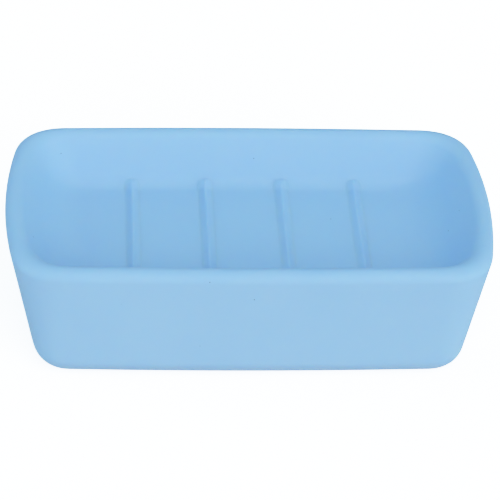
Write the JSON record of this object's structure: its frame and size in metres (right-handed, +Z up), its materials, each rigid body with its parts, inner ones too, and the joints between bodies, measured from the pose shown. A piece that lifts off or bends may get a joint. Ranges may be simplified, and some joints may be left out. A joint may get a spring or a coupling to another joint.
{
  "type": "soap tray",
  "caption": "Rectangular silicone tray for soap with flared ends, a soft rounded rim and raised ribs across its flat floor.",
  "frame": {"origin": "centre of the base, on the plane the tray stands on", "axes": "+X along the length, +Y across the width towards the back, +Z up out of the tray"},
  "size_m": [0.1504, 0.0798, 0.0417],
  "materials": {
    "silicone": "matte light blue silicone"
  },
  "bodies": {
    "root": {"tray_body": "silicone", "floor_rib_1": "silicone", "floor_rib_2": "silicone", "floor_rib_3": "silicone", "floor_rib_4": "silicone"}
  },
  "joints": []
}
